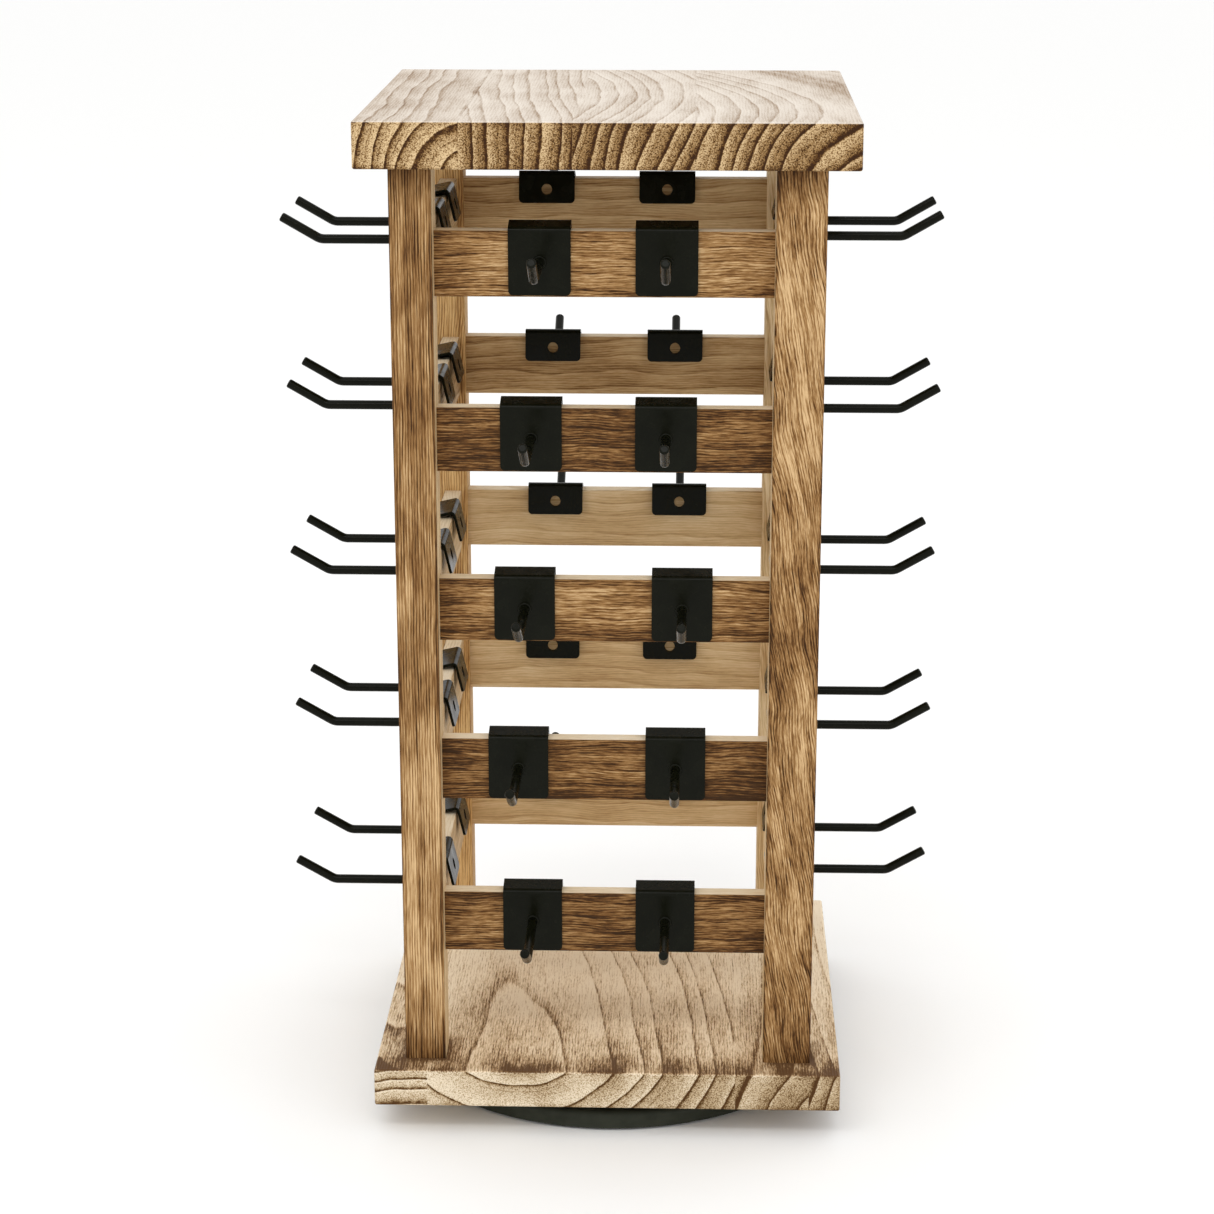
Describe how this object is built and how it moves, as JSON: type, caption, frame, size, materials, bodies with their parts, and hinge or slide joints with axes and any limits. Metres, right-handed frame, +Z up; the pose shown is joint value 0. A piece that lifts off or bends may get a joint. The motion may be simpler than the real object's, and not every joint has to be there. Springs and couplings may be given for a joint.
{
  "type": "rotating display rack",
  "caption": "Square wooden counter rack on a ball-bearing turntable: posts and rails between two boards, with black steel hooks clipped over the rails.",
  "frame": {"origin": "on the floor, on the turntable's axis", "axes": "+Z up along the turntable's axis; the front faces -Y; +X is to the right seen from the front"},
  "size_m": [0.3556, 0.3556, 0.552],
  "materials": {
    "board_wood_top": "sawn and brushed, light scorching on the edges",
    "board_wood_bottom": "sawn and brushed, scorched mid brown",
    "post_wood": "torched and brushed, darker at the ends",
    "rail_wood": "torched outer face, plain sawn top and inner face",
    "dowel_wood": "plain turned hardwood",
    "hook_black": "black satin powder coat",
    "disc_black": "matt dark grey paint",
    "plated_steel": "zinc plated sheet",
    "screw_steel": "yellow passivated zinc",
    "ball_steel": "polished bearing steel",
    "cage_brass": "stamped sheet brass",
    "foot_rubber": "moulded matt rubber"
  },
  "bodies": {
    "base": {"base_disc": "disc_black", "lower_race": "plated_steel", "rubber_feet": "foot_rubber", "pivot_rivet": "plated_steel"},
    "bearing_cage": {"ball_cage": "cage_brass", "bearing_balls": "ball_steel"},
    "carousel": {"turntable_plate": "plated_steel", "plate_screws": "screw_steel", "bottom_board": "board_wood_bottom", "post_screws": "screw_steel", "front_left_post": "post_wood", "front_right_post": "post_wood", "back_left_post": "post_wood", "back_right_post": "post_wood", "front_rails": "rail_wood", "right_rails": "rail_wood", "back_rails": "rail_wood", "left_rails": "rail_wood", "top_dowels": "dowel_wood", "top_board": "board_wood_top"},
    "hook_front_1_left": {"hook_front_1_left": "hook_black"},
    "hook_front_1_right": {"hook_front_1_right": "hook_black"},
    "hook_front_2_left": {"hook_front_2_left": "hook_black"},
    "hook_front_2_right": {"hook_front_2_right": "hook_black"},
    "hook_front_3_left": {"hook_front_3_left": "hook_black"},
    "hook_front_3_right": {"hook_front_3_right": "hook_black"},
    "hook_front_4_left": {"hook_front_4_left": "hook_black"},
    "hook_front_4_right": {"hook_front_4_right": "hook_black"},
    "hook_front_5_left": {"hook_front_5_left": "hook_black"},
    "hook_front_5_right": {"hook_front_5_right": "hook_black"},
    "hook_right_1_left": {"hook_right_1_left": "hook_black"},
    "hook_right_1_right": {"hook_right_1_right": "hook_black"},
    "hook_right_2_left": {"hook_right_2_left": "hook_black"},
    "hook_right_2_right": {"hook_right_2_right": "hook_black"},
    "hook_right_3_left": {"hook_right_3_left": "hook_black"},
    "hook_right_3_right": {"hook_right_3_right": "hook_black"},
    "hook_right_4_left": {"hook_right_4_left": "hook_black"},
    "hook_right_4_right": {"hook_right_4_right": "hook_black"},
    "hook_right_5_left": {"hook_right_5_left": "hook_black"},
    "hook_right_5_right": {"hook_right_5_right": "hook_black"},
    "hook_back_1_left": {"hook_back_1_left": "hook_black"},
    "hook_back_1_right": {"hook_back_1_right": "hook_black"},
    "hook_back_2_left": {"hook_back_2_left": "hook_black"},
    "hook_back_2_right": {"hook_back_2_right": "hook_black"},
    "hook_back_3_left": {"hook_back_3_left": "hook_black"},
    "hook_back_3_right": {"hook_back_3_right": "hook_black"},
    "hook_back_4_left": {"hook_back_4_left": "hook_black"},
    "hook_back_4_right": {"hook_back_4_right": "hook_black"},
    "hook_back_5_left": {"hook_back_5_left": "hook_black"},
    "hook_back_5_right": {"hook_back_5_right": "hook_black"},
    "hook_left_1_left": {"hook_left_1_left": "hook_black"},
    "hook_left_1_right": {"hook_left_1_right": "hook_black"},
    "hook_left_2_left": {"hook_left_2_left": "hook_black"},
    "hook_left_2_right": {"hook_left_2_right": "hook_black"},
    "hook_left_3_left": {"hook_left_3_left": "hook_black"},
    "hook_left_3_right": {"hook_left_3_right": "hook_black"},
    "hook_left_4_left": {"hook_left_4_left": "hook_black"},
    "hook_left_4_right": {"hook_left_4_right": "hook_black"},
    "hook_left_5_left": {"hook_left_5_left": "hook_black"},
    "hook_left_5_right": {"hook_left_5_right": "hook_black"}
  },
  "joints": [
    {"name": "carousel_spin", "type": "hinge", "parent": "base", "child": "carousel", "pos_m": [0, 0, 0], "axis": [0, 0, 1], "continuous": true},
    {"name": "cage_spin", "type": "hinge", "parent": "base", "child": "bearing_cage", "pos_m": [0, 0, 0], "axis": [0, 0, 1], "continuous": true},
    {"name": "hook_front_1_left_slide", "type": "slide", "parent": "carousel", "child": "hook_front_1_left", "axis": [1, 0, 0], "range_m": [-0.028, 0.016]},
    {"name": "hook_front_1_right_slide", "type": "slide", "parent": "carousel", "child": "hook_front_1_right", "axis": [1, 0, 0], "range_m": [-0.016, 0.033]},
    {"name": "hook_front_2_left_slide", "type": "slide", "parent": "carousel", "child": "hook_front_2_left", "axis": [1, 0, 0], "range_m": [-0.023, 0.0185]},
    {"name": "hook_front_2_right_slide", "type": "slide", "parent": "carousel", "child": "hook_front_2_right", "axis": [1, 0, 0], "range_m": [-0.0185, 0.033]},
    {"name": "hook_front_3_left_slide", "type": "slide", "parent": "carousel", "child": "hook_front_3_left", "axis": [1, 0, 0], "range_m": [-0.019, 0.025]},
    {"name": "hook_front_3_right_slide", "type": "slide", "parent": "carousel", "child": "hook_front_3_right", "axis": [1, 0, 0], "range_m": [-0.025, 0.024]},
    {"name": "hook_front_4_left_slide", "type": "slide", "parent": "carousel", "child": "hook_front_4_left", "axis": [1, 0, 0], "range_m": [-0.015, 0.0255]},
    {"name": "hook_front_4_right_slide", "type": "slide", "parent": "carousel", "child": "hook_front_4_right", "axis": [1, 0, 0], "range_m": [-0.0255, 0.027]},
    {"name": "hook_front_5_left_slide", "type": "slide", "parent": "carousel", "child": "hook_front_5_left", "axis": [1, 0, 0], "range_m": [-0.022, 0.0195]},
    {"name": "hook_front_5_right_slide", "type": "slide", "parent": "carousel", "child": "hook_front_5_right", "axis": [1, 0, 0], "range_m": [-0.0195, 0.032]},
    {"name": "hook_right_1_left_slide", "type": "slide", "parent": "carousel", "child": "hook_right_1_left", "axis": [0, 1, 0], "range_m": [-0.051, 0.0105]},
    {"name": "hook_right_1_right_slide", "type": "slide", "parent": "carousel", "child": "hook_right_1_right", "axis": [0, 1, 0], "range_m": [-0.0105, 0.021]},
    {"name": "hook_right_2_left_slide", "type": "slide", "parent": "carousel", "child": "hook_right_2_left", "axis": [0, 1, 0], "range_m": [-0.038, 0.02]},
    {"name": "hook_right_2_right_slide", "type": "slide", "parent": "carousel", "child": "hook_right_2_right", "axis": [0, 1, 0], "range_m": [-0.02, 0.015]},
    {"name": "hook_right_3_left_slide", "type": "slide", "parent": "carousel", "child": "hook_right_3_left", "axis": [0, 1, 0], "range_m": [-0.042, 0.016]},
    {"name": "hook_right_3_right_slide", "type": "slide", "parent": "carousel", "child": "hook_right_3_right", "axis": [0, 1, 0], "range_m": [-0.016, 0.019]},
    {"name": "hook_right_4_left_slide", "type": "slide", "parent": "carousel", "child": "hook_right_4_left", "axis": [0, 1, 0], "range_m": [-0.038, 0.0145]},
    {"name": "hook_right_4_right_slide", "type": "slide", "parent": "carousel", "child": "hook_right_4_right", "axis": [0, 1, 0], "range_m": [-0.0145, 0.026]},
    {"name": "hook_right_5_left_slide", "type": "slide", "parent": "carousel", "child": "hook_right_5_left", "axis": [0, 1, 0], "range_m": [-0.042, 0.017]},
    {"name": "hook_right_5_right_slide", "type": "slide", "parent": "carousel", "child": "hook_right_5_right", "axis": [0, 1, 0], "range_m": [-0.017, 0.017]},
    {"name": "hook_back_1_left_slide", "type": "slide", "parent": "carousel", "child": "hook_back_1_left", "axis": [-1, 0, 0], "range_m": [-0.035, 0.018]},
    {"name": "hook_back_1_right_slide", "type": "slide", "parent": "carousel", "child": "hook_back_1_right", "axis": [-1, 0, 0], "range_m": [-0.018, 0.022]},
    {"name": "hook_back_2_left_slide", "type": "slide", "parent": "carousel", "child": "hook_back_2_left", "axis": [-1, 0, 0], "range_m": [-0.03, 0.019]},
    {"name": "hook_back_2_right_slide", "type": "slide", "parent": "carousel", "child": "hook_back_2_right", "axis": [-1, 0, 0], "range_m": [-0.019, 0.025]},
    {"name": "hook_back_3_left_slide", "type": "slide", "parent": "carousel", "child": "hook_back_3_left", "axis": [-1, 0, 0], "range_m": [-0.027, 0.02]},
    {"name": "hook_back_3_right_slide", "type": "slide", "parent": "carousel", "child": "hook_back_3_right", "axis": [-1, 0, 0], "range_m": [-0.02, 0.026]},
    {"name": "hook_back_4_left_slide", "type": "slide", "parent": "carousel", "child": "hook_back_4_left", "axis": [-1, 0, 0], "range_m": [-0.032, 0.0185]},
    {"name": "hook_back_4_right_slide", "type": "slide", "parent": "carousel", "child": "hook_back_4_right", "axis": [-1, 0, 0], "range_m": [-0.0185, 0.024]},
    {"name": "hook_back_5_left_slide", "type": "slide", "parent": "carousel", "child": "hook_back_5_left", "axis": [-1, 0, 0], "range_m": [-0.028, 0.022]},
    {"name": "hook_back_5_right_slide", "type": "slide", "parent": "carousel", "child": "hook_back_5_right", "axis": [-1, 0, 0], "range_m": [-0.022, 0.021]},
    {"name": "hook_left_1_left_slide", "type": "slide", "parent": "carousel", "child": "hook_left_1_left", "axis": [0, -1, 0], "range_m": [-0.032, 0.0145]},
    {"name": "hook_left_1_right_slide", "type": "slide", "parent": "carousel", "child": "hook_left_1_right", "axis": [0, -1, 0], "range_m": [-0.0145, 0.032]},
    {"name": "hook_left_2_left_slide", "type": "slide", "parent": "carousel", "child": "hook_left_2_left", "axis": [0, -1, 0], "range_m": [-0.025, 0.0145]},
    {"name": "hook_left_2_right_slide", "type": "slide", "parent": "carousel", "child": "hook_left_2_right", "axis": [0, -1, 0], "range_m": [-0.0145, 0.039]},
    {"name": "hook_left_3_left_slide", "type": "slide", "parent": "carousel", "child": "hook_left_3_left", "axis": [0, -1, 0], "range_m": [-0.025, 0.0175]},
    {"name": "hook_left_3_right_slide", "type": "slide", "parent": "carousel", "child": "hook_left_3_right", "axis": [0, -1, 0], "range_m": [-0.0175, 0.033]},
    {"name": "hook_left_4_left_slide", "type": "slide", "parent": "carousel", "child": "hook_left_4_left", "axis": [0, -1, 0], "range_m": [-0.028, 0.015]},
    {"name": "hook_left_4_right_slide", "type": "slide", "parent": "carousel", "child": "hook_left_4_right", "axis": [0, -1, 0], "range_m": [-0.015, 0.035]},
    {"name": "hook_left_5_left_slide", "type": "slide", "parent": "carousel", "child": "hook_left_5_left", "axis": [0, -1, 0], "range_m": [-0.029, 0.023]},
    {"name": "hook_left_5_right_slide", "type": "slide", "parent": "carousel", "child": "hook_left_5_right", "axis": [0, -1, 0], "range_m": [-0.023, 0.018]}
  ],
  "couplings": [
    {"joint": "cage_spin", "follows": "carousel_spin", "ratio": 0.5}
  ]
}
